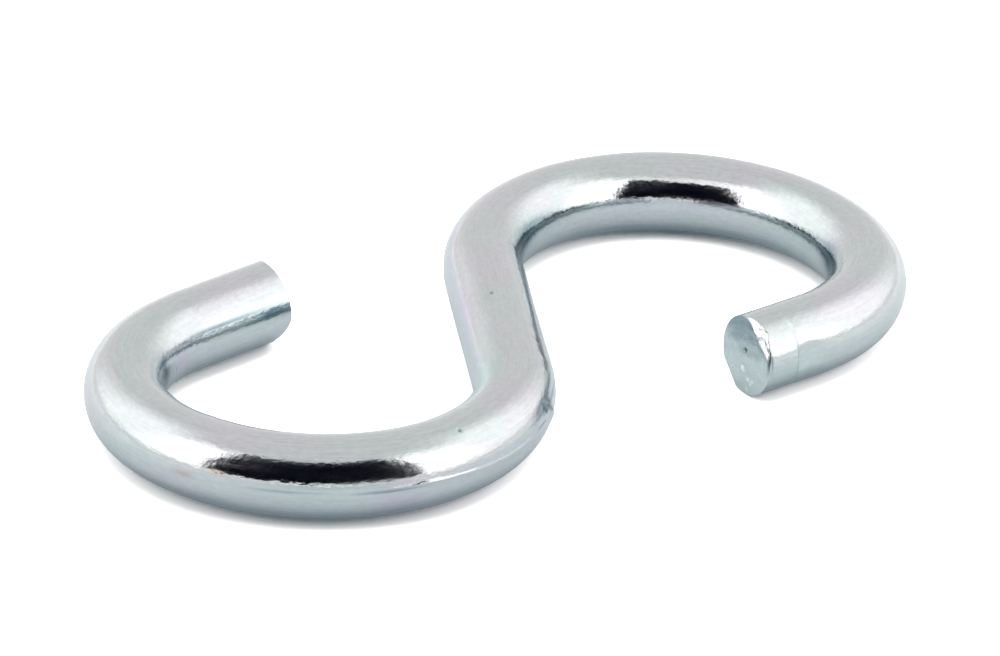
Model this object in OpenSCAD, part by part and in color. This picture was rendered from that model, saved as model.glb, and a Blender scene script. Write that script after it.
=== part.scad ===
// S hook bent cold from one length of round drawn wire: a straight leg with an open loop at each end.
// Both loops turn the same way round, so the wire makes an S, and both tips are cropped in a shear.
// Millimetres. The hook lies flat: its length runs along X, the wire rests on z = 0, and the middle
// of its footprint is the origin.

/* [Wire] */

// Diameter of the round wire
wire_d = 5; // [3:0.1:6]
// How much thinner the wire is drawn where it is bent tightest, at the shoulders and throats
draw_down = 0.03; // [0.02:0.01:0.1]

/* [Middle leg] */

// Straight length of the leg that joins the two loops
leg_l = 14; // [8:0.5:24]

/* [Bend radii, to the middle of the wire] */

// Shoulder: where a loop leaves the leg
shoulder_r = 11.3; // [9:0.1:14]
// Crown: the end of the loop, where the load bears
crown_r = 12.5; // [10:0.1:16]
// Throat: where the loop turns back in towards the leg
throat_r = 10.1; // [8:0.1:13]

/* [First loop, at the -X end] */

// Turn at the shoulder, in degrees
first_shoulder_turn = 79; // [60:1:90]
// Turn over the crown, in degrees
first_crown_turn = 57; // [45:1:70]
// Turn at the throat, in degrees
first_throat_turn = 99; // [70:1:105]
// Straight length of the tip, to the middle of its cut
first_tip_l = 6.6; // [4:0.1:8]
// Radius of the edge that the shear blade rolled over on this tip
first_roll_r = 1.2; // [0.3:0.1:1.6]

/* [Second loop, at the +X end] */

// Turn at the shoulder, in degrees
second_shoulder_turn = 86; // [60:1:92]
// Turn over the crown, in degrees
second_crown_turn = 79; // [60:1:84]
// Turn at the throat, in degrees
second_throat_turn = 75; // [60:1:80]
// Straight length of the tip, to the middle of its cut
second_tip_l = 4.9; // [4:0.1:8]
// Radius of the edge that the shear blade rolled over on this tip
second_roll_r = 0.4; // [0.3:0.1:1.6]

/* [Cropped ends] */

// How far the cut is off square seen from above, in degrees: the outer side of the loop is longer
crop_skew = 5.5; // [0:0.5:8]
// How far the cut is off square seen from the side, in degrees: the underside is longer
crop_rake = 2.5; // [0:0.5:8]
// Where the blade came in, in degrees round the wire from the inner side of the loop, downwards
roll_at = 50; // [20:5:90]

/* [Hidden] */

$fn = 96;

wire_r = wire_d / 2;
drawn_d = wire_d - draw_down;

// Each bend is [radius, turn, wire diameter]; each loop is a list of bends followed by a straight tip
first_bends = [
    [shoulder_r, first_shoulder_turn, drawn_d],
    [crown_r, first_crown_turn, wire_d],
    [throat_r, first_throat_turn, drawn_d]
];
second_bends = [
    [shoulder_r, second_shoulder_turn, drawn_d],
    [crown_r, second_crown_turn, wire_d],
    [throat_r, second_throat_turn, drawn_d]
];
crown = 1;
no_turn = 0;
half_turn = 180;

// The rolled edge is an arc that leaves the wire's side at one slope and meets the cut face at another
roll_in = 15;
roll_out = 68;

// Length by which a drawn-down bend runs on inside the full wire at each of its ends
seam_lap = 0.1;

// Spare length cropped off each tip, and the side of the blocks that crop it
crop_spare = wire_r;
crop_side = 3 * wire_d;

// A pose is [x, y, heading] of the middle of the wire, and every bend turns it clockwise
function bend_middle(pose, radius) = [
    pose.x + radius * sin(pose.z),
    pose.y - radius * cos(pose.z)
];
function straight_on(pose, length) = [
    pose.x + length * cos(pose.z),
    pose.y + length * sin(pose.z),
    pose.z
];
function past_bend(pose, bend) =
    let (middle = bend_middle(pose, bend[0]), heading = pose.z - bend[1])
    [middle.x - bend[0] * sin(heading), middle.y + bend[0] * cos(heading), heading];

// The poses at which each bend of a loop starts, then the one at which its tip starts
function stations(pose, bends, i = 0) =
    i == len(bends) ? [pose] : concat([pose], stations(past_bend(pose, bends[i]), bends, i + 1));

// A loop starts at one end of the leg, whose middle is at the origin of the bending plane
function loop_start(heading) = straight_on([0, 0, heading], leg_l / 2);
function crown_middle(heading, bends) =
    bend_middle(stations(loop_start(heading), bends)[crown], bends[crown][0]);

// The leg leans so that the line through the middles of both crowns lies along X
crown_line = crown_middle(no_turn, second_bends) - crown_middle(half_turn, first_bends);
leg_lean = -atan2(crown_line.y, crown_line.x);

first_stations = stations(loop_start(leg_lean + half_turn), first_bends);
second_stations = stations(loop_start(leg_lean), second_bends);

// How far the middle line of a loop reaches from the leg's middle in a direction
function along(point, direction) = point.x * cos(direction) + point.y * sin(direction);
function turned_past(pose, direction) =
    let (back = (pose.z + 90 - direction) % 360)
    back < 0 ? back + 360 : back;
function loop_reach(poses, bends, tip_l, direction) = max(concat(
    [for (pose = poses) along(pose, direction)],
    [along(straight_on(poses[len(bends)], tip_l), direction)],
    [
        for (i = [0 : len(bends) - 1])
        if (turned_past(poses[i], direction) <= bends[i][1])
        along(bend_middle(poses[i], bends[i][0]), direction) + bends[i][0]
    ]
));
function reach(direction) = wire_r + max(
    loop_reach(first_stations, first_bends, first_tip_l, direction),
    loop_reach(second_stations, second_bends, second_tip_l, direction)
);

// The middle of the footprint, which becomes the origin
footprint_middle = [(reach(0) - reach(180)) / 2, (reach(90) - reach(270)) / 2];

module straight_wire(pose, length) {
    translate([pose.x, pose.y, wire_r])
        rotate([0, 90, pose.z])
            cylinder(h = length, d = wire_d);
}

module bent_wire(pose, bend) {
    middle = bend_middle(pose, bend[0]);
    lap_turn = bend[2] < wire_d ? seam_lap / bend[0] * 180 / PI : 0;
    translate([middle.x, middle.y, wire_r])
        rotate([0, 0, pose.z + 90 - bend[1] - lap_turn])
            rotate_extrude(angle = bend[1] + 2 * lap_turn)
                translate([bend[0], 0])
                    circle(d = bend[2]);
}

// What the shear takes off, drawn with the cut face at x = 0 and the wire coming from -X
module rolled_edge(roll_r) {
    roll_x = -roll_r * sin(roll_out);
    roll_z = -wire_r + roll_r * cos(roll_in);
    difference() {
        translate([roll_x, -crop_side / 2, -crop_side / 2])
            cube([crop_side, crop_side, crop_side / 2 + roll_z]);
        translate([roll_x, 0, roll_z])
            rotate([90, 0, 0])
                cylinder(h = 2 * crop_side, r = roll_r, center = true);
    }
}

module shear_cut(roll_r) {
    translate([0, -crop_side / 2, -crop_side / 2])
        cube(crop_side);
    rotate([roll_at - 90, 0, 0])
        rolled_edge(roll_r);
}

module cropped_tip(pose, length, roll_r) {
    difference() {
        straight_wire(pose, length + crop_spare);
        translate([pose.x, pose.y, wire_r])
            rotate([0, 0, pose.z])
                translate([length, 0, 0])
                    rotate([0, -crop_rake, -crop_skew])
                        shear_cut(roll_r);
    }
}

module open_loop(poses, bends, tip_l, roll_r) {
    for (i = [0 : len(bends) - 1])
        bent_wire(poses[i], bends[i]);
    cropped_tip(poses[len(bends)], tip_l, roll_r);
}

module s_hook() {
    color([0.76, 0.78, 0.80])
        translate([-footprint_middle.x, -footprint_middle.y, 0]) {
            straight_wire(straight_on([0, 0, leg_lean], -leg_l / 2), leg_l);
            open_loop(first_stations, first_bends, first_tip_l, first_roll_r);
            open_loop(second_stations, second_bends, second_tip_l, second_roll_r);
        }
}

s_hook();
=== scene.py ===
"""S hook of zinc plated steel wire, cropped at both tips, lying flat in a white light tent.

The classes hold their sizes in millimetres and degrees, and turn them to metres as the meshes are made. A
place on the hook is given as the distance along the middle of the wire from the first tip, and the angle
round the wire, from its left side upwards.
"""

import logging
import math
from dataclasses import dataclass, field
from enum import Enum
from typing import Any, Iterable, NamedTuple

import bpy
import numpy as np
from mathutils import Matrix, Vector


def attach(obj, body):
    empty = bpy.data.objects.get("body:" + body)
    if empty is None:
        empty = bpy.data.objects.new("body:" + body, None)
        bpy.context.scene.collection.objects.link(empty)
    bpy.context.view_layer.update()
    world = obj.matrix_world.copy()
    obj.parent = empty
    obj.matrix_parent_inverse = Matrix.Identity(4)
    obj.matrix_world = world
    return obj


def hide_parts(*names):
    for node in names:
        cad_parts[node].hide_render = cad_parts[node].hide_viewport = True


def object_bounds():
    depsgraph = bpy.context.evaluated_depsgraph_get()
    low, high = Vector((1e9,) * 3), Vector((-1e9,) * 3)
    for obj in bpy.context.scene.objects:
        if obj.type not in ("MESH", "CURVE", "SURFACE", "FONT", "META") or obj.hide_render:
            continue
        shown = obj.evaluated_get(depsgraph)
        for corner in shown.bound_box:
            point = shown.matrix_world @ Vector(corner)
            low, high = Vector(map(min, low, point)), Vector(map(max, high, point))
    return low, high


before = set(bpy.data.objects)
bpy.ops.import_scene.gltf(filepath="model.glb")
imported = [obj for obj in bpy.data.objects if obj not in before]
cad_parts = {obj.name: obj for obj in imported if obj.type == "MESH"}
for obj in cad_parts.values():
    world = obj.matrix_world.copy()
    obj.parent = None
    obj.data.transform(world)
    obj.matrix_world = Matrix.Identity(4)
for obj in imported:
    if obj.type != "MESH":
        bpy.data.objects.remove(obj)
cad_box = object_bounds()

MM = 0.001
WIRE_MM = "wire_mm"
# The colour attribute of film tints, a brown mark and painted shade; on the faces it carries painted shade
# and torn metal that is partly painted highlight
FILM_AND_PAINTED_LIGHT = "film"
# The open front of the tent, where the camera stands, in degrees round from -Y
FRONT = -35.05
log = logging.getLogger("s_hook")


class Tip(Enum):
    """The two tips of the wire, with the sense in which the outward direction runs along it."""

    FIRST = -1
    SECOND = 1


class FilmAndPaintedLight(Enum):
    """The tints of the passivation film, a brown mark and a painted shade of dark blue-green, by the
    channel of the colour attribute that carries them; on the faces two channels carry painted shade and
    torn metal that is partly painted highlight.
    """

    LILAC = 0
    GREEN = 1
    PAINTED_SHADE_TEAL = 2
    BROWN = 3


def linear(hex_colour: str) -> tuple[float, float, float, float]:
    """Turn an sRGB hex colour to linear light.

    Args:
        hex_colour: six hex digits after a hash sign.

    Returns:
        Red, green and blue in linear light, and an alpha of one.
    """
    parts = [int(hex_colour[i : i + 2], 16) / 255 for i in (1, 3, 5)]
    red, green, blue = [c / 12.92 if c <= 0.04045 else ((c + 0.055) / 1.055) ** 2.4 for c in parts]
    return red, green, blue, 1.0


def add_node(
    tree: bpy.types.NodeTree,
    kind: str,
    inputs: dict[int | str, Any] | None = None,
    **settings: Any,
) -> bpy.types.Node:
    """Add a node with its settings, values and links.

    Args:
        tree: the node tree that takes it.
        kind: Blender's name for the kind of node.
        inputs: by socket, the value it holds, the output that feeds it, or the node whose first one does.
        settings: the node's own properties.

    Returns:
        The new node.
    """
    node = tree.nodes.new(kind)
    for name, value in settings.items():
        setattr(node, name, value)
    for socket, value in (inputs or {}).items():
        if isinstance(value, bpy.types.Node):
            value = value.outputs[0]
        if isinstance(value, bpy.types.NodeSocket):
            tree.links.new(value, node.inputs[socket])
        else:
            node.inputs[socket].default_value = value
    return node


def painted(
    tree: bpy.types.NodeTree,
    base: str,
    layers: Iterable[tuple[bpy.types.Node | bpy.types.NodeSocket, str]],
) -> bpy.types.NodeSocket:
    """Lay colours over a base colour, each by its own share.

    Args:
        tree: the node tree that takes the nodes.
        base: the hex colour below.
        layers: the share and the hex colour of each layer, from the lowest up.

    Returns:
        The socket with the colour that they make.
    """
    paint: Any = linear(base)
    for share, colour in layers:
        mix = add_node(
            tree, "ShaderNodeMix", {0: share, 6: paint, 7: linear(colour)}, data_type="RGBA"
        )
        paint = mix.outputs[2]
    return paint


def start_material(name: str, values: dict[str, Any]) -> tuple[bpy.types.Material, bpy.types.Node]:
    """Start a material, with values on its shader's own sockets.

    Args:
        name: what the material is called.
        values: the value that each socket holds.

    Returns:
        The material and its shader.
    """
    material = bpy.data.materials.new(name)
    material.use_nodes = True
    shader = material.node_tree.nodes["Principled BSDF"]
    for socket, value in values.items():
        shader.inputs[socket].default_value = value
    return material, shader


def add_object(name: str, data: bpy.types.ID) -> bpy.types.Object:
    """Put a mesh, a light or a camera in the scene.

    Args:
        name: what the object is called.
        data: what it shows.

    Returns:
        The object.
    """
    thing = bpy.data.objects.new(name, data)
    bpy.context.scene.collection.objects.link(thing)
    return thing


def direction(around: float | np.ndarray, above: float | np.ndarray) -> np.ndarray:
    """Turn angles to directions in space.

    Args:
        around: angles round from -Y, in degrees.
        above: angles above level, in degrees.

    Returns:
        Directions of length 1, with their coordinates on the last axis.
    """
    around, above = np.broadcast_arrays(np.radians(around), np.radians(above))
    level = np.cos(above)
    return np.stack([np.sin(around) * level, -np.cos(around) * level, np.sin(above)], axis=-1)


def smooth(value: np.ndarray, start: float, end: float) -> np.ndarray:
    """Rise from 0 at start to 1 at end, level at both, for every value."""
    share = np.clip((value - start) / (end - start), 0.0, 1.0)
    return share * share * (3.0 - 2.0 * share)


def bell(value: np.ndarray, width: float) -> np.ndarray:
    """Round bump of height 1 at zero that has nearly gone at twice the width."""
    return np.exp(-((value / width) ** 2))


def turned(angle: np.ndarray, middle: float) -> np.ndarray:
    """Angle from the middle, in degrees from -180 to 180."""
    return (angle - middle + 180.0) % 360.0 - 180.0


@dataclass(frozen=True)
class Bend:
    """One bend of the wire: its radius to the middle of the wire, and its turn in degrees."""

    radius: float
    turn: float

    @property
    def length(self) -> float:
        """Length of wire in the bend."""
        return self.radius * math.radians(self.turn)


@dataclass(frozen=True)
class Loop:
    """An open loop, from the leg outwards: shoulder, crown and throat, then the straight tip."""

    shoulder: Bend
    crown: Bend
    throat: Bend
    tip: float

    @property
    def outward(self) -> tuple[Bend, Bend, Bend]:
        """The bends in order from the leg to the tip."""
        return self.shoulder, self.crown, self.throat

    @property
    def length(self) -> float:
        """Length of wire in the loop."""
        return self.tip + sum(bend.length for bend in self.outward)


@dataclass
class WireLine:
    """The middle line of the bent wire, traced from the first tip to the second."""

    leg: float = 14.0
    first: Loop = Loop(Bend(11.3, 79), Bend(12.5, 57), Bend(10.1, 99), 6.6)
    second: Loop = Loop(Bend(11.3, 86), Bend(12.5, 79), Bend(10.1, 75), 4.9)
    step: float = 0.02
    easing: float = 1.2
    along: np.ndarray = field(init=False)
    middle: np.ndarray = field(init=False)
    heading: np.ndarray = field(init=False)
    tightness: np.ndarray = field(init=False)

    @property
    def length(self) -> float:
        """Length of the whole wire."""
        return self.first.length + self.leg + self.second.length

    def stretches(self) -> list[tuple[float, float]]:
        """List the length and the curvature of each stretch, from the first tip to the second.

        Returns:
            Pairs of length and curvature; the first loop turns left and the second turns right.
        """
        first = [(self.first.tip, 0.0)]
        first += [(bend.length, 1 / bend.radius) for bend in reversed(self.first.outward)]
        second = [(bend.length, -1 / bend.radius) for bend in self.second.outward]
        return [*first, (self.leg, 0.0), *second, (self.second.tip, 0.0)]

    def trace(self, footprint: tuple[float, float]) -> None:
        """Work out the line and set it down with its length along X.

        Args:
            footprint: length and width of the hook, which the line is centred in.
        """
        count = round(self.length / self.step)
        step = self.length / count
        ends = np.cumsum([length for length, _ in self.stretches()])
        bending = np.array([curvature for _, curvature in self.stretches()])
        halfway = (np.arange(count) + 0.5) * step
        curvature = bending[np.minimum(np.searchsorted(ends, halfway), len(bending) - 1)]
        window = np.hanning(round(self.easing / step) * 2 + 1)
        padded = np.pad(curvature, len(window) // 2, mode="edge")
        curvature = np.convolve(padded, window / window.sum(), mode="valid")
        heading = np.concatenate([[0.0], np.cumsum(curvature) * step])
        between = (heading[1:] + heading[:-1]) / 2
        steps = np.stack([np.cos(between), np.sin(between)], axis=1) * step
        points = np.concatenate([[[0.0, 0.0]], np.cumsum(steps, axis=0)])
        self.along = np.linspace(0.0, self.length, count + 1)
        self.tightness = np.interp(self.along, halfway, curvature)

        crowns = [self.crown_middle(points, heading, tip) for tip in Tip]
        lean = -math.atan2(*(crowns[1] - crowns[0])[::-1])
        turn = np.array([[math.cos(lean), math.sin(lean)], [-math.sin(lean), math.cos(lean)]])
        points = points @ turn
        self.middle = points - (points.max(axis=0) + points.min(axis=0)) / 2
        self.heading = heading + lean
        spare = np.array(footprint) - np.ptp(self.middle, axis=0)
        log.info("wire line: %.2f mm long, %.2f and %.2f mm inside the footprint", self.length, *spare)

    def crown_middle(self, points: np.ndarray, heading: np.ndarray, tip: Tip) -> np.ndarray:
        """Find the middle of a loop's crown bend.

        Args:
            points: the line.
            heading: its heading at each point, in radians.
            tip: which loop.

        Returns:
            The middle of that bend.
        """
        if tip is Tip.FIRST:
            place = self.first.tip + self.first.throat.length + self.first.crown.length / 2
            radius = self.first.crown.radius
        else:
            place = self.length - self.second.tip - self.second.throat.length
            place -= self.second.crown.length / 2
            radius = -self.second.crown.radius
        i = int(np.argmin(abs(self.along - place)))
        return points[i] + radius * np.array([-math.sin(heading[i]), math.cos(heading[i])])

    def at(self, place: np.ndarray) -> tuple[np.ndarray, np.ndarray, np.ndarray]:
        """Find points of the line and the directions there; past an end it runs straight on.

        Args:
            place: distances along the wire.

        Returns:
            Points, directions along the wire and directions to its left.
        """
        held = np.clip(place, 0.0, self.length)
        heading = np.interp(held, self.along, self.heading)
        ahead = np.stack([np.cos(heading), np.sin(heading)], axis=-1)
        left = np.stack([-np.sin(heading), np.cos(heading)], axis=-1)
        point = np.stack([np.interp(held, self.along, self.middle[:, i]) for i in (0, 1)], axis=-1)
        return point + ahead * (place - held)[..., None], ahead, left


class Rings(NamedTuple):
    """Points of the hook's skin, a row for each ring round the wire.

    They hold distances along the wire, distances from its middle, angles round it, and the shares of
    near-white torn metal, partly painted highlight, and of painted shade, which only the faces have.
    """

    place: np.ndarray
    radius: np.ndarray
    around: np.ndarray
    torn_metal_and_painted_light: np.ndarray


@dataclass(frozen=True)
class CroppedEnd:
    """A tip cropped in a shear: the face is off square, rolled over on one side and torn on the other.

    Angles round the face count from the outer side of the loop upwards. A nib is a small lump of torn metal
    on the face, or a pit if its height is less than zero: its place outwards and up, its half size and its
    height.
    """

    tip: Tip
    skew: float = 5.5
    rake: float = 2.5
    roll_radius: float = 1.2
    roll_at: float = 50.0
    roll_in: float = 15.0
    roll_out: float = 68.0
    tear_at: float = 52.0
    tear_reach: float = 34.0
    tear_width: float = 0.0
    tear_slope: float = 0.5
    slope_change: float = 0.10
    slope_waves: int = 7
    slope_drift: float = 3.0
    raggedness: float = 0.12
    # How wide the tear must be before its torn metal is painted near-white, partly as painted highlight
    bright_metal_and_highlight_from: tuple[float, float] = (0.1, 0.3)
    burr_at: float = 56.0
    burr_reach: float = 22.0
    burr_height: float = 0.0
    burr_width: float = 0.7
    # The crack at the torn edge is painted dark: painted shade
    crack: float = 0.0
    crack_at: float = 16.0
    crack_reach: float = 17.0
    crack_width: float = 0.2
    soft_edge: float = 0.12
    # Lumps are painted near-white, partly as painted highlight; pits get painted shade
    nibs: tuple[tuple[float, float, float, float], ...] = ()
    edge: float = 0.05
    grain: float = 0.012
    grain_fade: tuple[float, float] = (0.05, 0.5)
    arc_middle: tuple[float, float] = (0.6, -5.2)
    arc_spacing: float = 0.85

    def torn_width(self, outer: np.ndarray, up: np.ndarray) -> tuple[np.ndarray, np.ndarray]:
        """Work out how wide the torn crescent is on the side of the face where each point lies.

        Args:
            outer: distances from the middle of the wire towards the outer side of the loop.
            up: distances up from the middle of the wire.

        Returns:
            Widths, and the angles round the face in degrees.
        """
        angle = np.degrees(np.arctan2(up, outer))
        return self.tear_width * bell(turned(angle, self.tear_at), self.tear_reach), angle

    def setback(self, outer: np.ndarray, up: np.ndarray, wire: float, noise: np.ndarray) -> np.ndarray:
        """Work out how far the face stands out along the wire.

        Args:
            outer: distances from the middle of the wire towards the outer side of the loop.
            up: distances up from the middle of the wire.
            wire: radius of the wire.
            noise: roughness of the torn metal, about -1 to 1, of the same shape.

        Returns:
            Distances along the wire, outwards, from the middle of the cut.
        """
        skew, rake, at = map(math.radians, (self.skew, self.rake, self.roll_at))
        out = outer * math.tan(skew) - up * math.tan(rake) / math.cos(skew)
        down = -math.cos(at) * outer - math.sin(at) * up
        axis_out = -self.roll_radius * math.sin(math.radians(self.roll_out))
        axis_down = wire - self.roll_radius * math.cos(math.radians(self.roll_in))
        drop = np.maximum(self.roll_radius**2 - np.maximum(down - axis_down, 0.0) ** 2, 0.0)
        out += np.minimum(axis_out + np.sqrt(drop), 0.0)
        radius = np.hypot(outer, up)
        width, angle = self.torn_width(outer, up)
        torn = np.maximum(radius - (wire - width * (1.0 + self.raggedness * noise)), 0.0)
        waves = np.sin(self.slope_waves * np.radians(angle) + self.slope_drift * noise)
        out -= torn * (self.tear_slope + self.slope_change * waves)
        rim = smooth(radius, wire - self.burr_width, wire)
        out += self.burr_height * bell(turned(angle, self.burr_at), self.burr_reach) * rim
        for nib_outer, nib_up, nib_size, nib_height in self.nibs:
            out += nib_height * bell(np.hypot(outer - nib_outer, up - nib_up), nib_size)
        reach = np.hypot(outer - self.arc_middle[0], up - self.arc_middle[1]) + self.raggedness * noise
        arcs = np.sin(2 * math.pi * reach / self.arc_spacing)
        return out + smooth(wire - radius, *self.grain_fade) * self.grain * (noise + arcs)

    def torn_metal_and_painted_light(self, outer: np.ndarray, up: np.ndarray, wire: float) -> np.ndarray:
        """Work out where torn metal is painted near-white, partly as painted highlight, and where painted
        shade lies in the crack and the pits.

        Args:
            outer: distances from the middle of the wire towards the outer side of the loop.
            up: distances up from the middle of the wire.
            wire: radius of the wire.

        Returns:
            Shares from 0 to 1 of near-white torn metal, partly painted highlight, and of painted shade, on
            the last axis.
        """
        radius = np.hypot(outer, up)
        width, angle = self.torn_width(outer, up)
        inside = wire - width
        # Near-white torn metal across the tear, partly painted highlight
        bright_metal_and_highlight = smooth(radius, inside, inside + self.soft_edge) * smooth(width, *self.bright_metal_and_highlight_from)
        # Painted shade along the crack at the torn edge
        inside = wire - self.crack_width
        crack = smooth(radius, inside, inside + self.soft_edge)
        painted_hollow_shade = self.crack * crack * bell(turned(angle, self.crack_at), self.crack_reach)
        # Lumps on the face are painted near-white, partly as painted highlight; pits get painted shade
        for nib_outer, nib_up, nib_size, nib_height in self.nibs:
            spot = bell(np.hypot(outer - nib_outer, up - nib_up), nib_size)
            if nib_height < 0.0:
                painted_hollow_shade = painted_hollow_shade + spot
            else:
                bright_metal_and_highlight = bright_metal_and_highlight + spot
        return np.clip(np.stack([bright_metal_and_highlight, painted_hollow_shade], axis=-1), 0.0, 1.0)


@dataclass(frozen=True)
class Mark:
    """A dent or a lump in the wire, or a tint, a brown mark or painted shade laid on it: where it is, its
    half sizes and its height.
    """

    along: float
    around: float
    half_length: float
    half_width: float
    height: float = 0.0
    film: FilmAndPaintedLight | None = None
    strength: float = 1.0

    def cover(self, place: np.ndarray, angle: np.ndarray, wire: float) -> np.ndarray:
        """Work out how strongly the mark covers each point.

        Args:
            place: distances along the wire.
            angle: angles round it, in degrees.
            wire: radius of the wire.

        Returns:
            Shares from 0 to 1.
        """
        across = np.radians(turned(angle, self.around)) * wire
        return bell(place - self.along, self.half_length) * bell(across, self.half_width)


@dataclass(frozen=True)
class ClampFlat:
    """The flat that the bending clamp pressed into the wire just behind a tip.

    It ends in a hard edge towards the tip, with a shallow ring, and in a soft one with a small raised lip
    towards the loop.
    """

    start: float = 114.0
    end: float = 116.2
    around: float = 4.0
    depth: float = 0.15
    depth_fall: float = 0.02
    edge_wave: float = 3.0
    wave_length: float = 0.45
    hard_edge: float = 0.10
    soft_edge: float = 0.7
    lip_around: float = 4.0
    lip_height: float = 0.03
    lip_length: float = 0.5
    lip_reach: float = 9.0
    ring_depth: float = 0.05
    ring_length: float = 0.8
    ring_around: float = -5.0
    ring_reach: float = 60.0
    widest: float = 60.0

    def press(self, place: np.ndarray, angle: np.ndarray, wire: float) -> np.ndarray:
        """Work out how far the flat is below the round of the wire.

        Args:
            place: distances along the wire.
            angle: angles round it, in degrees.
            wire: radius of the wire.

        Returns:
            Depths, as negative heights.
        """
        off = turned(angle, self.around) + self.edge_wave * np.sin(place / self.wave_length)
        across = np.cos(np.radians(np.clip(off, -self.widest, self.widest)))
        depth = self.depth - self.depth_fall * (self.end - place)
        flat = np.minimum((wire - depth) / across - wire, 0.0)
        lip = bell(place - self.start, self.lip_length) * bell(off - self.lip_around, self.lip_reach)
        soft = smooth(place, self.start - self.soft_edge, self.start + self.soft_edge)
        hard = 1.0 - smooth(place, self.end - self.hard_edge, self.end + self.hard_edge)
        ring = smooth(place, self.end - self.ring_length, self.end) * hard
        ring = ring * bell(turned(angle, self.ring_around), self.ring_reach)
        return flat * soft * hard + lip * self.lip_height - ring * self.ring_depth


@dataclass(frozen=True)
class ToolLine:
    """The fine raised line that the bending tool left along the outer side of a bend."""

    start: float = 34.0
    end: float = 47.6
    around: float = 175.5
    height: float = 0.07
    half_width: float = 0.10
    rise: float = 5.0
    fall: float = 0.6
    swings: tuple[tuple[float, float], ...] = ((1.6, 3.1), (0.7, 1.3))

    def raise_up(self, place: np.ndarray, angle: np.ndarray, wire: float) -> np.ndarray:
        """Work out the height of the line.

        Args:
            place: distances along the wire.
            angle: angles round it, in degrees.
            wire: radius of the wire.

        Returns:
            Heights above the round of the wire.
        """
        wander = sum(swing * np.sin(place / length) for swing, length in self.swings)
        across = np.radians(turned(angle, self.around) - wander) * wire
        ends = smooth(place, self.start, self.start + self.rise)
        ends = ends * (1.0 - smooth(place, self.end - self.fall, self.end))
        return self.height * bell(across, self.half_width) * ends


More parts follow.
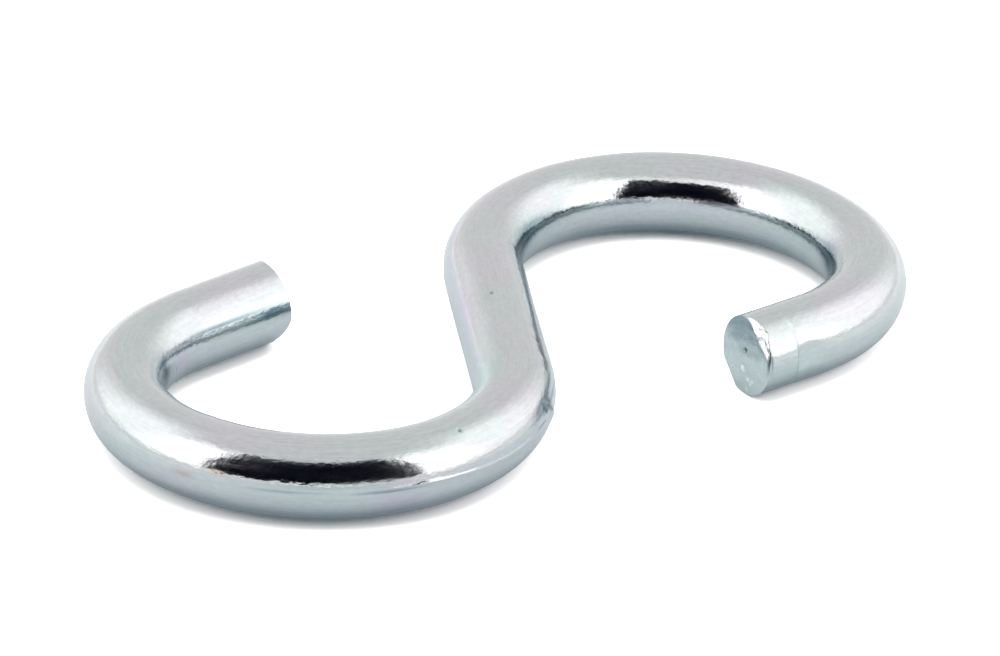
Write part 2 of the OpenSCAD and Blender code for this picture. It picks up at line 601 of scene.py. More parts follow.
@dataclass(frozen=True)
class ZincPlate:
    """Bright zinc electroplate with clear blue passivation, on cold drawn wire.

    The eye gets a soft silver mirror, greyer than steel: the drawing lines of the wire show through the
    plate and spread each reflection across the wire, grain breaks up its edges, and the thin passivation
    film turns from lilac to green where its thickness changes. A dark blue-green is painted shade and
    painted dark reflection, laid in the inner corners of the loops, in dents and along dark lines.
    """

    name: str = "zinc_plate_blue_passivated"
    colour: str = "#C4CACD"
    lilac: str = "#C6BCD2"
    green: str = "#A6CCC2"
    # Painted shade: the dark blue-green laid in the inner corners of the loops, in dents and along dark
    # lines on the wire
    painted_shade_teal: str = "#3F6C7A"
    brown: str = "#B7A698"
    roughness: tuple[float, float] = (0.08, 0.20)
    anisotropy: float = 0.4
    # Real drawing lines lie less than 0.05 mm apart, too close to show, so these are coarser
    line_size: tuple[float, float] = (0.13, 2.4)
    line_height: float = 0.0009
    rub_size: tuple[float, float] = (0.5, 4.0)
    rub_span: tuple[float, float] = (0.3, 0.7)
    grain_size: tuple[float, float] = (0.28, 0.448)
    grain_height: float = 0.016
    ripple_size: tuple[float, float] = (0.9, 1.62)
    ripple_height: float = 0.012
    wear_span: tuple[float, float] = (0.7, 1.3)
    wear: tuple[float, float] = (0.93, 1.05)
    film_size: tuple[float, float] = (4.0, 8.0)
    film_strength: float = 0.22
    lilac_span: tuple[float, float] = (0.35, 0.7)
    green_span: tuple[float, float] = (0.62, 0.3)

    def pattern(
        self, tree: bpy.types.NodeTree, size: tuple[float, float], detail: float
    ) -> bpy.types.Node:
        """Add a noise laid out along the wire.

        Args:
            tree: the material's nodes.
            size: its size across and along the wire, in millimetres.
            detail: how many finer layers it holds.

        Returns:
            The noise, about 0.2 to 0.8.
        """
        across, along = size
        place = add_node(tree, "ShaderNodeAttribute", attribute_name=WIRE_MM)
        scaled = add_node(
            tree,
            "ShaderNodeMapping",
            {"Vector": place.outputs["Vector"], "Scale": (1 / across, 1 / across, 1 / along)},
        )
        return add_node(tree, "ShaderNodeTexNoise", {"Vector": scaled, "Scale": 1.0, "Detail": detail})

    def make(self) -> bpy.types.Material:
        """Build the material.

        Returns:
            The material.
        """
        material, shader = start_material(self.name, {"Metallic": 1.0, "Anisotropic": self.anisotropy})
        tree = material.node_tree

        lines = self.pattern(tree, self.line_size, 3.0)
        rubs = self.pattern(tree, self.rub_size, 4.0)
        grain = self.pattern(tree, self.grain_size, 3.0)
        ripple = self.pattern(tree, self.ripple_size, 1.0)
        film = self.pattern(tree, self.film_size, 2.0)

        height: Any = 0.0
        for layer, size in (
            (lines, self.line_height),
            (grain, self.grain_height),
            (ripple, self.ripple_height),
        ):
            height = add_node(
                tree, "ShaderNodeMath", {0: layer, 1: size, 2: height}, operation="MULTIPLY_ADD"
            )
        bump = add_node(tree, "ShaderNodeBump", {"Height": height, "Strength": 1.0, "Distance": MM})
        tree.links.new(bump.outputs[0], shader.inputs["Normal"])

        drift = (0.0, self.film_strength)
        both = add_node(tree, "ShaderNodeMath", {0: lines, 1: grain}, operation="ADD")
        rough, lilac, green, worn = [
            add_node(
                tree, "ShaderNodeMapRange", {"Value": value, 1: span[0], 2: span[1], 3: to[0], 4: to[1]}
            )
            for value, span, to in (
                (rubs, self.rub_span, self.roughness),
                (film, self.lilac_span, drift),
                (film, self.green_span, drift),
                (both, self.wear_span, self.wear),
            )
        ]
        tree.links.new(rough.outputs[0], shader.inputs["Roughness"])
        film_attribute_with_painted_light = add_node(tree, "ShaderNodeAttribute", attribute_name=FILM_AND_PAINTED_LIGHT)
        stains_and_painted_light = add_node(tree, "ShaderNodeSeparateColor", {0: film_attribute_with_painted_light.outputs["Color"]})
        # The lilac and green layers are film tints and the brown one a mark on the metal; the dark
        # blue-green layer is painted shade
        layers = (
            (lilac, self.lilac),
            (green, self.green),
            (stains_and_painted_light.outputs[FilmAndPaintedLight.LILAC.value], self.lilac),
            (stains_and_painted_light.outputs[FilmAndPaintedLight.GREEN.value], self.green),
            (stains_and_painted_light.outputs[FilmAndPaintedLight.PAINTED_SHADE_TEAL.value], self.painted_shade_teal),
            (film_attribute_with_painted_light.outputs["Alpha"], self.brown),
        )
        tinted = add_node(
            tree,
            "ShaderNodeMix",
            {0: 1.0, 6: painted(tree, self.colour, layers), 7: worn},
            data_type="RGBA",
            blend_type="MULTIPLY",
        )
        tree.links.new(tinted.outputs[2], shader.inputs["Base Color"])
        around = add_node(tree, "ShaderNodeTangent", direction_type="UV_MAP", uv_map="wire")
        tree.links.new(around.outputs[0], shader.inputs["Tangent"])
        return material


@dataclass(frozen=True)
class CroppedFace:
    """Sheared steel under thin zinc.

    The eye gets a duller and bluer grey than on the drawn wire, with painted shade that darkens it towards
    the top in soft patches, near-white torn metal at the edge that is partly painted highlight, and painted
    shade in the crack and the pits.
    """

    name: str = "zinc_plate_on_sheared_steel"
    colour: str = "#C6D2D3"
    # Painted shade: the face is darker towards the top, in soft patches
    shade: str = "#9BABB3"
    # Near-white torn metal, partly painted highlight
    bright_metal_and_highlight: str = "#F6FBFB"
    # Painted shade in the crack and the pits
    painted_hollow_shade: str = "#2F3D45"
    roughness: tuple[float, float] = (0.22, 0.40)
    tear_size: float = 0.18
    tear_height: float = 0.014
    patch_size: float = 1.1
    patch_span: tuple[float, float] = (0.3, 0.7)
    patch_drift: float = 2.4
    shade_span: tuple[float, float] = (-0.2, 1.5)

    def make(self) -> bpy.types.Material:
        """Build the material.

        Returns:
            The material.
        """
        material, shader = start_material(self.name, {"Metallic": 1.0})
        tree = material.node_tree
        place = add_node(tree, "ShaderNodeAttribute", attribute_name=WIRE_MM)
        torn, patch = [
            add_node(
                tree,
                "ShaderNodeTexNoise",
                {"Vector": place.outputs["Vector"], "Scale": 1 / size, "Detail": 4.0},
            )
            for size in (self.tear_size, self.patch_size)
        ]
        bump = add_node(
            tree, "ShaderNodeBump", {"Height": torn, "Strength": 1.0, "Distance": self.tear_height * MM}
        )
        tree.links.new(bump.outputs[0], shader.inputs["Normal"])
        # Painted shade: a share that rises towards the top of the face, in soft patches
        parts = add_node(tree, "ShaderNodeSeparateXYZ", {0: place.outputs["Vector"]})
        drift = add_node(
            tree,
            "ShaderNodeMath",
            {0: patch, 1: self.patch_drift, 2: -self.patch_drift / 2},
            operation="MULTIPLY_ADD",
        )
        height = add_node(tree, "ShaderNodeMath", {0: parts.outputs["Y"], 1: drift}, operation="ADD")
        rough, share = [
            add_node(
                tree, "ShaderNodeMapRange", {"Value": value, 1: span[0], 2: span[1], 3: to[0], 4: to[1]}
            )
            for value, span, to in (
                (patch, self.patch_span, self.roughness),
                (height, self.shade_span, (0.0, 1.0)),
            )
        ]
        tree.links.new(rough.outputs[0], shader.inputs["Roughness"])
        film_attribute_with_painted_light = add_node(tree, "ShaderNodeAttribute", attribute_name=FILM_AND_PAINTED_LIGHT)
        stains_and_painted_light = add_node(tree, "ShaderNodeSeparateColor", {0: film_attribute_with_painted_light.outputs["Color"]})
        # Painted shade towards the top, near-white torn metal that is partly painted highlight, and painted
        # shade in the crack and the pits
        layers = (
            (share, self.shade),
            (stains_and_painted_light.outputs[FilmAndPaintedLight.GREEN.value], self.bright_metal_and_highlight),
            (stains_and_painted_light.outputs[FilmAndPaintedLight.PAINTED_SHADE_TEAL.value], self.painted_hollow_shade),
        )
        tree.links.new(painted(tree, self.colour, layers), shader.inputs["Base Color"])
        return material


@dataclass(frozen=True)
class MattFinish:
    """A surface without gloss, which gives the eye an even tone: the tent's floor, or the black card."""

    name: str
    colour: str
    roughness: float = 0.9

    def make(self) -> bpy.types.Material:
        """Build the material."""
        values = {"Base Color": linear(self.colour), "Roughness": self.roughness, "Specular IOR Level": 0.0}
        return start_material(self.name, values)[0]


@dataclass
class PlatedHook:
    """The whole hook: one length of wire, skinned ring by ring, with a face at each tip."""

    line: WireLine
    wire: float = 2.5
    sides: int = 152
    ring_gap: float = 0.3
    fine_gap: float = 0.07
    clamp_margin: float = 0.6
    face_rings: int = 30
    edge_steps: int = 5
    end_blend: float = 3.0
    drawn_down: float = 0.015
    tight_span: tuple[float, float] = (0.081, 0.088)
    waviness: float = 0.008
    seed: int = 7
    tear_waves: int = 24
    tear_lengths: tuple[float, float] = (0.35, 1.6)
    tear_scale: float = 5.0
    ends: tuple[CroppedEnd, CroppedEnd] = (
        CroppedEnd(Tip.FIRST, burr_height=0.32),
        CroppedEnd(
            Tip.SECOND,
            roll_radius=0.4,
            tear_width=0.72,
            crack=0.9,
            nibs=(
                (-0.1, 0.31, 0.15, -0.10),
                (-0.2, -0.87, 0.13, 0.10),
                (-0.05, -1.03, 0.14, 0.09),
                (0.45, -1.42, 0.13, 0.09),
                (0.9, -1.37, 0.11, 0.09),
                (0.75, -1.62, 0.08, 0.06),
                (0.4, -2.10, 0.09, 0.07),
            ),
        ),
    )
    clamp: ClampFlat = ClampFlat()
    tool_line: ToolLine = ToolLine()
    # The dark blue-green on the dents is painted shade in their hollows
    dents: tuple[Mark, ...] = (
        Mark(47.3, 158.0, 0.30, 0.26, -0.05, FilmAndPaintedLight.PAINTED_SHADE_TEAL),
        Mark(47.5, 163.0, 0.16, 0.14, -0.04, FilmAndPaintedLight.PAINTED_SHADE_TEAL),
        Mark(48.3, 176.5, 0.42, 0.55, 0.15),
        Mark(11.3, -4.7, 0.12, 0.12, -0.12, FilmAndPaintedLight.PAINTED_SHADE_TEAL),
        Mark(58.9, 78.0, 0.16, 0.09, -0.04, FilmAndPaintedLight.PAINTED_SHADE_TEAL),
        Mark(40.8, 115.4, 0.10, 0.10, -0.04, FilmAndPaintedLight.PAINTED_SHADE_TEAL),
    )
    # Lilac and green marks are film tints and the two brown ones are brown marks; the dark blue-green ones
    # are painted shade and painted dark reflection, in the inner corners of the loops, along dark lines
    # under highlights and beside the tool line, and in the gap at the second tip's torn edge
    stains_and_painted_light: tuple[Mark, ...] = (
        Mark(58.8, 30.0, 4.2, 0.7, film=FilmAndPaintedLight.LILAC, strength=0.55),
        Mark(48.0, 52.0, 3.2, 1.0, film=FilmAndPaintedLight.GREEN, strength=0.55),
        Mark(36.8, -155.0, 1.2, 1.0, film=FilmAndPaintedLight.LILAC, strength=0.5),
        Mark(10.6, 2.0, 1.0, 0.6, film=FilmAndPaintedLight.LILAC, strength=0.7),
        Mark(1.7, 16.0, 1.5, 0.30, film=FilmAndPaintedLight.PAINTED_SHADE_TEAL, strength=0.85),
        Mark(6.0, 24.0, 4.0, 0.14, film=FilmAndPaintedLight.PAINTED_SHADE_TEAL, strength=0.8),
        Mark(14.3, 14.0, 1.1, 0.9, film=FilmAndPaintedLight.PAINTED_SHADE_TEAL, strength=0.8),
        Mark(70.5, 158.0, 4.0, 0.55, film=FilmAndPaintedLight.PAINTED_SHADE_TEAL, strength=0.75),
        Mark(103.5, 158.0, 3.0, 0.7, film=FilmAndPaintedLight.PAINTED_SHADE_TEAL, strength=0.75),
        Mark(55.0, 146.0, 6.0, 0.12, film=FilmAndPaintedLight.PAINTED_SHADE_TEAL, strength=0.7),
        Mark(49.0, 160.0, 1.8, 0.12, film=FilmAndPaintedLight.PAINTED_SHADE_TEAL, strength=0.7),
        Mark(118.33, 18.0, 0.07, 0.75, film=FilmAndPaintedLight.PAINTED_SHADE_TEAL, strength=1.0),
        Mark(31.0, 176.0, 1.6, 0.07, film=FilmAndPaintedLight.PAINTED_SHADE_TEAL, strength=0.5),
        Mark(36.3, 177.0, 1.6, 0.08, film=FilmAndPaintedLight.PAINTED_SHADE_TEAL, strength=0.75),
        Mark(25.8, 176.0, 0.5, 0.18, film=FilmAndPaintedLight.BROWN, strength=0.8),
        Mark(27.7, 161.0, 0.5, 0.22, film=FilmAndPaintedLight.BROWN, strength=0.8),
    )

    def ring_places(self) -> np.ndarray:
        """Space the rings along the wire, closer at the tips and at the marks.

        Returns:
            Distances along the wire, from end to end.
        """
        fine = [(0.0, self.end_blend), (self.clamp.start - self.clamp_margin, self.line.length)]
        fine += [(d.along - 3 * d.half_length, d.along + 3 * d.half_length) for d in self.dents]
        places = [0.0]
        while places[-1] < self.line.length:
            here = places[-1]
            close = any(low - self.ring_gap <= here <= high for low, high in fine)
            places.append(here + (self.fine_gap if close else self.ring_gap))
        return np.array(places) * self.line.length / places[-1]

    def relief(self, place: np.ndarray, angle: np.ndarray) -> np.ndarray:
        """Add up everything that lifts or lowers the wire's surface.

        Args:
            place: distances along the wire.
            angle: angles round it, in degrees.

        Returns:
            Heights above the round of the wire.
        """
        tight = np.interp(place, self.line.along, abs(self.line.tightness))
        rise = -self.drawn_down * smooth(tight, *self.tight_span)
        turn = np.radians(angle)
        # Slow swells that drawing and straightening left in the wire
        rise = rise + self.waviness * (
            0.5 * np.sin(place / 1.9 + np.cos(turn))
            + 0.3 * np.sin(place / 0.83 + 2.0 * np.sin(turn))
            + 0.4 * np.sin(2.0 * turn + place / 4.7)
        )
        rise = rise + self.clamp.press(place, angle, self.wire)
        rise = rise + self.tool_line.raise_up(place, angle, self.wire)
        for dent in self.dents:
            rise = rise + dent.height * dent.cover(place, angle, self.wire)
        return rise

    def roughness_field(self, outer: np.ndarray, up: np.ndarray) -> np.ndarray:
        """Draw the torn metal's roughness as a sum of fixed random waves.

        Args:
            outer: distances towards the outer side of the loop.
            up: distances up.

        Returns:
            Values of about -1 to 1.
        """
        rng = np.random.default_rng(self.seed)
        total = np.zeros_like(outer)
        for _ in range(self.tear_waves):
            length = rng.uniform(*self.tear_lengths)
            way = rng.uniform(0.0, 2.0 * math.pi)
            phase = rng.uniform(0.0, 2.0 * math.pi)
            total += np.sin(2 * math.pi * (outer * math.cos(way) + up * math.sin(way)) / length + phase)
        return total / self.tear_scale

    def end_rings(self, end: CroppedEnd, base: float, rim: np.ndarray) -> Rings:
        """Lay out the rings of a tip's face, from its edge to its middle.

        Args:
            end: the cropped end.
            base: distance along the wire of the middle of the cut.
            rim: radii of the wire's last ring, which the face grows or shrinks to meet.

        Returns:
            The rings.
        """
        angle = self.angles()
        turn = np.radians(angle)
        corner = np.linspace(0.0, math.pi / 2, self.edge_steps + 1)[1:]
        flat = np.linspace(self.wire - end.edge, 0.0, self.face_rings + 1)[1:-1]
        radius = np.concatenate([self.wire - end.edge + end.edge * np.cos(corner), flat])[:, None]
        inset = np.concatenate([end.edge * (1.0 - np.sin(corner)), np.zeros(len(flat))])[:, None]
        outer = radius * np.cos(turn) * end.tip.value
        up = radius * np.sin(turn)
        noise = self.roughness_field(outer, up)
        out = end.setback(outer, up, self.wire, noise) - inset
        radius = radius + (rim - self.wire) * (radius / self.wire)
        place = base + end.tip.value * out
        return Rings(place, radius, np.broadcast_to(angle, place.shape), end.torn_metal_and_painted_light(outer, up, self.wire))

    def angles(self) -> np.ndarray:
        """Angles of a ring's points in degrees; the seam of the ring lies on the underside."""
        return np.linspace(-90.0, 270.0, self.sides + 1)

    def set_out(self, place: np.ndarray, radius: np.ndarray, angle: np.ndarray) -> np.ndarray:
        """Turn places on the wire to points of the hook.

        Args:
            place: distances along the wire.
            radius: distances from its middle.
            angle: angles round it, in degrees.

        Returns:
            Points in millimetres, none below what the hook lies on.
        """
        middle, _, left = self.line.at(place)
        turn = np.radians(angle)
        flat = middle + left * (radius * np.cos(turn))[..., None]
        height = np.maximum(self.wire + radius * np.sin(turn), 0.0)
        return np.concatenate([flat, height[..., None]], axis=-1)

    def build(self) -> bpy.types.Object:
        """Build the mesh of the hook.

        Returns:
            The hook, without a finish.
        """
        angle = self.angles()
        turn = np.radians(angle)
        rings = self.ring_places()[:, None]
        place = np.broadcast_to(rings, (len(rings), len(angle))).copy()
        around = np.broadcast_to(angle, place.shape)
        for end in self.ends:
            sign = end.tip.value
            outer, up = self.wire * np.cos(turn) * sign, self.wire * np.sin(turn)
            out = end.setback(outer, up, self.wire, self.roughness_field(outer, up)) - end.edge
            inward = rings if end.tip is Tip.FIRST else self.line.length - rings
            share = np.clip(1.0 - inward / self.end_blend, 0.0, 1.0)
            place += sign * share * out
        radius = self.wire + self.relief(place, around)
        wire = Rings(place, radius, around, np.zeros((*around.shape, 2)))
        first = self.end_rings(self.ends[0], 0.0, radius[0])
        second = self.end_rings(self.ends[1], self.line.length, radius[-1])
        joined = [np.concatenate([a[::-1], b, c]) for a, b, c in zip(first, wire, second)]
        return self.skin(Rings(*joined), len(first.place))

    def skin(self, rings: Rings, face_rows: int) -> bpy.types.Object:
        """Join the rings to one closed mesh with its attributes.

        Args:
            rings: all the rings, the last point of each in the place of its first.
            face_rows: how many rows at each end belong to a tip's face.

        Returns:
            The mesh as an object.
        """
        place, radius, around, torn_metal_and_painted_light = (table[:, :-1] for table in rings)
        rows, columns = place.shape
        grid = np.arange(rows * columns).reshape(rows, columns)
        after = np.roll(grid, -1, axis=1)
        quads = np.stack([grid[:-1], after[:-1], after[1:], grid[1:]], axis=-1).reshape(-1, 4)
        middles = np.array([place[0].mean(), place[-1].mean()])
        points = self.set_out(place, radius, around).reshape(-1, 3)
        hubs = self.set_out(middles, np.zeros(2), np.zeros(2))
        first_hub, second_hub = len(points), len(points) + 1
        fans = [(first_hub, int(b), int(a)) for a, b in zip(grid[0], after[0])]
        fans += [(second_hub, int(a), int(b)) for a, b in zip(grid[-1], after[-1])]
        mesh = bpy.data.meshes.new("plated_hook")
        faces = [tuple(int(i) for i in quad[::-1]) for quad in quads]
        faces += [fan[::-1] for fan in fans]
        mesh.from_pydata((np.concatenate([points, hubs]) * MM).tolist(), [], faces)

        turn = np.radians(around)
        wire_mm = np.stack([radius * np.cos(turn), radius * np.sin(turn), place], axis=-1).reshape(-1, 3)
        wire_mm = np.concatenate([wire_mm, [[0.0, 0.0, middle] for middle in middles]])
        mesh.attributes.new(WIRE_MM, "FLOAT_VECTOR", "POINT").data.foreach_set("vector", wire_mm.ravel())
        film = np.concatenate([self.film_shares(place, around, torn_metal_and_painted_light), np.zeros((2, 4))])
        mesh.attributes.new(FILM_AND_PAINTED_LIGHT, "FLOAT_COLOR", "POINT").data.foreach_set("color", film.ravel())

        self.unwrap(mesh, place, len(quads))
        quad_rows = np.arange(len(quads)) // columns
        row_of = np.concatenate([quad_rows, np.full(columns, 0), np.full(columns, rows)])
        on_face = (row_of < face_rows - 1) | (row_of > rows - face_rows - 1)
        mesh.polygons.foreach_set("material_index", on_face.astype(np.int32))
        mesh.polygons.foreach_set("use_smooth", np.ones(len(faces), dtype=bool))
        mesh.update()
        return add_object("plated_hook", mesh)

    def film_shares(self, place: np.ndarray, around: np.ndarray, torn_metal_and_painted_light: np.ndarray) -> np.ndarray:
        """Work out how strongly each film covers each point of the rings.

        On the faces the green channel carries near-white torn metal, partly painted highlight, and the dark
        blue-green channel carries painted shade.

        Args:
            place: distances along the wire, a row for each ring.
            around: angles round it, in degrees.
            torn_metal_and_painted_light: shares of near-white torn metal, partly painted highlight, and of
                painted shade on the faces.

        Returns:
            A row of four shares for each point, in the order of the film's channels.
        """
        shares = np.zeros((*place.shape, 4))
        for mark in (*self.dents, *self.stains_and_painted_light):
            if mark.film is not None:
                cover = mark.strength * mark.cover(place, around, self.wire)
                channel = shares[..., mark.film.value]
                np.maximum(channel, cover, out=channel)
        faces = shares[..., [FilmAndPaintedLight.GREEN.value, FilmAndPaintedLight.PAINTED_SHADE_TEAL.value]]
        shares[..., [FilmAndPaintedLight.GREEN.value, FilmAndPaintedLight.PAINTED_SHADE_TEAL.value]] = np.maximum(faces, torn_metal_and_painted_light)
        return shares.reshape(-1, 4)

    def unwrap(self, mesh: bpy.types.Mesh, place: np.ndarray, quads: int) -> None:
        """Lay the skin out flat, round the wire across and along it upwards, for the plate's tangent.

        Args:
            mesh: the hook's mesh.
            place: distances along the wire, a row for each ring.
            quads: how many of its faces are the rings' quads.
        """
        columns = self.sides
        rows = np.arange(quads) // columns
        column = np.arange(quads) % columns
        across = np.stack([column, column, column + 1, column + 1], axis=-1) / columns
        along = place[:, 0] / self.line.length
        up = np.stack([along[rows + 1], along[rows], along[rows], along[rows + 1]], axis=-1)
        corners = np.stack([across, up], axis=-1).reshape(-1, 2)
        rest = len(mesh.loops) - len(corners)
        layer = mesh.uv_layers.new(name="wire")
        filled = np.concatenate([corners, np.tile([[0.5, 0.5]], (rest, 1))])
        layer.data.foreach_set("uv", filled.astype(np.float32).ravel())

    def dress(self, hook: bpy.types.Object, plate: ZincPlate, face: CroppedFace) -> None:
        """Give the hook its finishes and hang it on the frame.

        Args:
            hook: the built hook.
            plate: the finish of the drawn wire.
            face: the finish of the cropped faces.
        """
        for finish in (plate, face):
            hook.data.materials.append(finish.make())
        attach(hook, "root")
        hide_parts("s_hook")


@dataclass(frozen=True)
class StudioCamera:
    """The camera: a long lens from in front of the first loop, a little above the hook."""

    azimuth: float = FRONT
    elevation: float = 27.05
    distance: float = 403.75
    roll: float = 1.94
    lens: float = 234.97
    sensor: float = 36.0
    target: tuple[float, float, float] = (2.836, 3.864, 0.0)
    clip: tuple[float, float] = (10.0, 20000.0)

    def build(self) -> bpy.types.Object:
        """Make the camera and point it.

        Returns:
            The camera.
        """
        around, roll = math.radians(self.azimuth), math.radians(self.roll)
        back = Vector(direction(self.azimuth, self.elevation))
        level = Vector((math.cos(around), math.sin(around), 0.0))
        upright = back.cross(level)
        right = level * math.cos(roll) + upright * math.sin(roll)
        turn = Matrix((right, back.cross(right), back)).transposed()
        camera = add_object("studio_camera", bpy.data.cameras.new("studio_camera"))
        camera.data.lens = self.lens
        camera.data.sensor_width = self.sensor
        camera.data.clip_start, camera.data.clip_end = (reach * MM for reach in self.clip)
        place = (Vector(self.target) + back * self.distance) * MM
        camera.matrix_world = Matrix.Translation(place) @ turn.to_4x4()
        bpy.context.scene.camera = camera
        return camera


@dataclass(frozen=True)
class LightTent:
    """White fabric tent, as the light from every direction: two lit side walls, a dimmer roof and back.

    The corners and the walls fade out over the angle from the front, and each wall's top over its angle
    above level. The cove is the curve by which the floor meets the walls.
    """

    front: float = FRONT
    roof: float = 0.95
    back: float = 0.96
    wall: float = 1.7
    corner: float = 2.3
    warmth: str = "#FFFAF8"
    corner_fade: tuple[float, float] = (66.0, 95.0)
    wall_fade: tuple[float, float] = (115.0, 160.0)
    wall_top: tuple[float, float] = (46.0, 68.0)
    back_top: tuple[float, float] = (25.0, 58.0)
    cove: tuple[float, float] = (0.0, 11.0)
    cove_level: float = 1.04

    def build(self) -> bpy.types.World:
        """Make the tent as the light from every direction.

        Returns:
            The world.
        """
        world = bpy.data.worlds.new("light_tent")
        world.use_nodes = True
        tree = world.node_tree
        way = add_node(tree, "ShaderNodeTexCoord")
        turned_way = add_node(
            tree,
            "ShaderNodeMapping",
            {"Vector": way.outputs["Generated"], "Rotation": (0.0, 0.0, math.radians(90.0 - self.front))},
        )
        parts = add_node(tree, "ShaderNodeSeparateXYZ", {0: turned_way})
        around = add_node(
            tree, "ShaderNodeMath", {0: parts.outputs["Y"], 1: parts.outputs["X"]}, operation="ARCTAN2"
        )
        side = add_node(tree, "ShaderNodeMath", {0: around}, operation="ABSOLUTE")
        above = add_node(tree, "ShaderNodeMath", {0: parts.outputs["Z"]}, operation="ARCSINE")

        walls, corners, upright, back, cove = [
            add_node(
                tree,
                "ShaderNodeMapRange",
                {"Value": angle, 1: math.radians(start), 2: math.radians(end), 3: 1.0, 4: 0.0},
                interpolation_type="SMOOTHSTEP",
            )
            for angle, (start, end) in (
                (side, self.wall_fade),
                (side, self.corner_fade),
                (above, self.wall_top),
                (above, self.back_top),
                (above, self.cove),
            )
        ]
        behind = add_node(tree, "ShaderNodeMath", {0: 1.0, 1: walls}, operation="SUBTRACT")
        light: Any = self.roof
        for across, upwards, level in (
            (behind, back, self.back),
            (walls, upright, self.wall),
            (corners, upright, self.corner),
            (1.0, cove, self.cove_level),
        ):
            share = add_node(tree, "ShaderNodeMath", {0: across, 1: upwards}, operation="MULTIPLY")
            light = add_node(tree, "ShaderNodeMix", {0: share, 2: light, 3: level}, data_type="FLOAT")
        tree.links.new(light.outputs[0], tree.nodes["Background"].inputs["Strength"])
        tree.nodes["Background"].inputs["Color"].default_value = linear(self.warmth)
        bpy.context.scene.world = world
        return world


@dataclass(frozen=True)
class LensCard:
    """The black card round the lens, which is the dark patch in the plate's reflections."""

    front: float = FRONT
    centre: tuple[float, float, float] = (-14.0, -2.0, 2.5)
    radius: float = 200.0
    half_width: float = 49.0
    low: float = 6.0
    high: float = 61.0
    colour: str = "#05060E"
    steps: int = 24

    def build(self) -> bpy.types.Object:
        """Make the card, bent round the hook and unseen by the camera that looks through it.

        Returns:
            The card.
        """
        around = np.linspace(-self.half_width, self.half_width, self.steps + 1) + self.front
        above = np.linspace(self.low, self.high, self.steps + 1)[:, None]
        way = direction(around, above).reshape(-1, 3)
        points = (np.array(self.centre) + self.radius * way) * MM
        grid = np.arange(len(points)).reshape(self.steps + 1, self.steps + 1)
        quads = np.stack([grid[:-1, :-1], grid[:-1, 1:], grid[1:, 1:], grid[1:, :-1]], axis=-1)
        mesh = bpy.data.meshes.new("lens_card")
        mesh.from_pydata(points.tolist(), [], quads.reshape(-1, 4).tolist())
        mesh.materials.append(MattFinish("black_card", self.colour, 0.95).make())
        card = add_object("lens_card", mesh)
        card.visible_camera = False
        return card


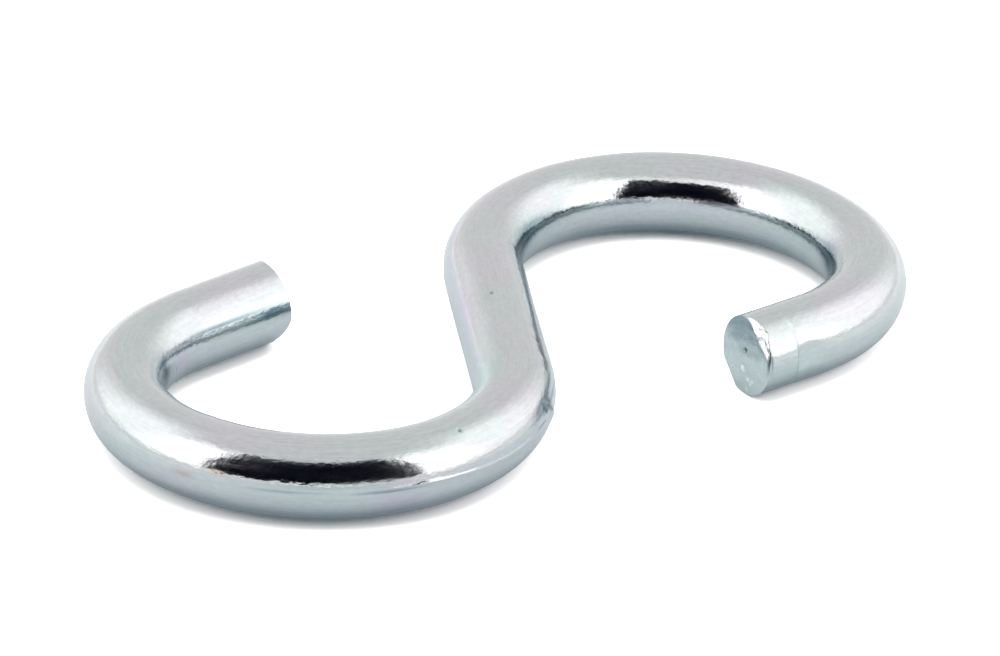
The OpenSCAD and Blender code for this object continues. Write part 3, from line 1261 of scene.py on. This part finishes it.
@dataclass(frozen=True)
class PaleFloor:
    """The tent's floor, matt white acrylic, in two sheets.

    The camera sees the white one. The plate mirrors the other, a grey copy that is painted shade, with a
    painted faint blue glow and painted light towards both sides.
    """

    half_side: float = 1500.0
    seen: str = "#FFFFFF"
    # Painted shade: the sheet that the plate mirrors is a grey copy of the white floor
    mirrored_painted_shade: str = "#888988"
    # Painted light: that sheet is paler towards both sides, where the lit walls stand
    painted_side_light: str = "#9B9694"
    # Painted glow: that sheet glows faintly blue, though it is no lamp
    painted_glow: str = "#B9D2E0"
    painted_glow_level: float = 0.3
    painted_side_light_fade: tuple[float, float] = (16.0, 52.0)
    front: float = FRONT
    gap: float = 0.01

    def build(self) -> None:
        """Make both sheets of the floor."""
        self.sheet("tent_floor", self.seen, 0.0).visible_glossy = False
        mirrored_painted_shade = self.sheet("tent_floor_mirrored_painted_shade", self.mirrored_painted_shade, self.gap)
        shader = mirrored_painted_shade.data.materials[0].node_tree.nodes["Principled BSDF"]
        # A painted glow on the sheet that the plate mirrors
        shader.inputs["Emission Color"].default_value = linear(self.painted_glow)
        shader.inputs["Emission Strength"].default_value = self.painted_glow_level
        self.paint_side_light(mirrored_painted_shade.data.materials[0].node_tree)
        mirrored_painted_shade.visible_camera = False
        mirrored_painted_shade.visible_diffuse = False
        mirrored_painted_shade.visible_shadow = False

    def paint_side_light(self, tree: bpy.types.NodeTree) -> None:
        """Paint light on the sheet that the plate mirrors: paler to both sides, where the lit walls stand.

        Args:
            tree: the sheet's material nodes.
        """
        place = add_node(tree, "ShaderNodeTexCoord")
        turn = add_node(
            tree,
            "ShaderNodeMapping",
            {"Vector": place.outputs["Object"], "Rotation": (0.0, 0.0, math.radians(-self.front))},
        )
        parts = add_node(tree, "ShaderNodeSeparateXYZ", {0: turn})
        side = add_node(tree, "ShaderNodeMath", {0: parts.outputs["X"]}, operation="ABSOLUTE")
        start, end = (reach * MM for reach in self.painted_side_light_fade)
        share = add_node(tree, "ShaderNodeMapRange", {"Value": side, 1: start, 2: end, 3: 0.0, 4: 1.0})
        paint = painted(tree, self.mirrored_painted_shade, [(share, self.painted_side_light)])
        tree.links.new(paint, tree.nodes["Principled BSDF"].inputs["Base Color"])

    def sheet(self, name: str, colour: str, level: float) -> bpy.types.Object:
        """Make one sheet.

        Args:
            name: what it is called.
            colour: its colour.
            level: its height.

        Returns:
            The sheet.
        """
        half = self.half_side * MM
        corners = [(-half, -half), (half, -half), (half, half), (-half, half)]
        mesh = bpy.data.meshes.new(name)
        mesh.from_pydata([(x, y, level * MM) for x, y in corners], [], [(0, 1, 2, 3)])
        mesh.materials.append(MattFinish("matt_floor_acrylic_and_painted_shade_copy", colour).make())
        floor = add_object(name, mesh)
        return floor


@dataclass(frozen=True)
class TentLamps:
    """The lamps outside the tent, one overhead and four around.

    They light the floor from all sides, and their own reflections are kept off the plate.
    """

    front: float = FRONT
    height: float = 500.0
    overhead_power: float = 3.7
    around: tuple[float, ...] = (-140.0, -70.0, 70.0, 140.0)
    elevation: float = 35.0
    distance: float = 600.0
    around_power: float = 1.75
    side: float = 400.0

    def build(self) -> None:
        """Make the lamps."""
        self.lamp("overhead_lamp", Vector((0.0, 0.0, self.height)), self.overhead_power)
        for number, away in enumerate(self.around):
            way = Vector(direction(self.front + away, self.elevation))
            self.lamp(f"side_lamp_{number}", way * self.distance, self.around_power)

    def lamp(self, name: str, place: Vector, power: float) -> bpy.types.Object:
        """Make a square lamp that faces the middle of the floor.

        Args:
            name: what it is called.
            place: where it stands, in millimetres.
            power: its power in watts.

        Returns:
            The lamp.
        """
        light = bpy.data.lights.new(name, "AREA")
        light.shape = "SQUARE"
        light.size = self.side * MM
        light.energy = power
        lamp = add_object(name, light)
        lamp.location = place * MM
        lamp.rotation_euler = place.to_track_quat("Z", "Y").to_euler()
        lamp.visible_glossy = False
        lamp.visible_camera = False
        return lamp


def main() -> None:
    """Build the camera, the hook, the floor and the tent, in that order."""
    logging.basicConfig(level=logging.INFO, format="%(name)s: %(message)s")
    StudioCamera().build()
    low, high = cad_box
    line = WireLine()
    wire = PlatedHook.wire
    line.trace(((high.x - low.x) / MM - 2 * wire, (high.y - low.y) / MM - 2 * wire))
    maker = PlatedHook(line)
    hook = maker.build()
    maker.dress(hook, ZincPlate(), CroppedFace())
    log.info("%s: %d faces", hook.name, len(hook.data.polygons))
    PaleFloor().build()
    TentLamps().build()
    LensCard().build()
    LightTent().build()
    bpy.context.scene.view_settings.view_transform = "Standard"


if __name__ == "__main__":
    main()
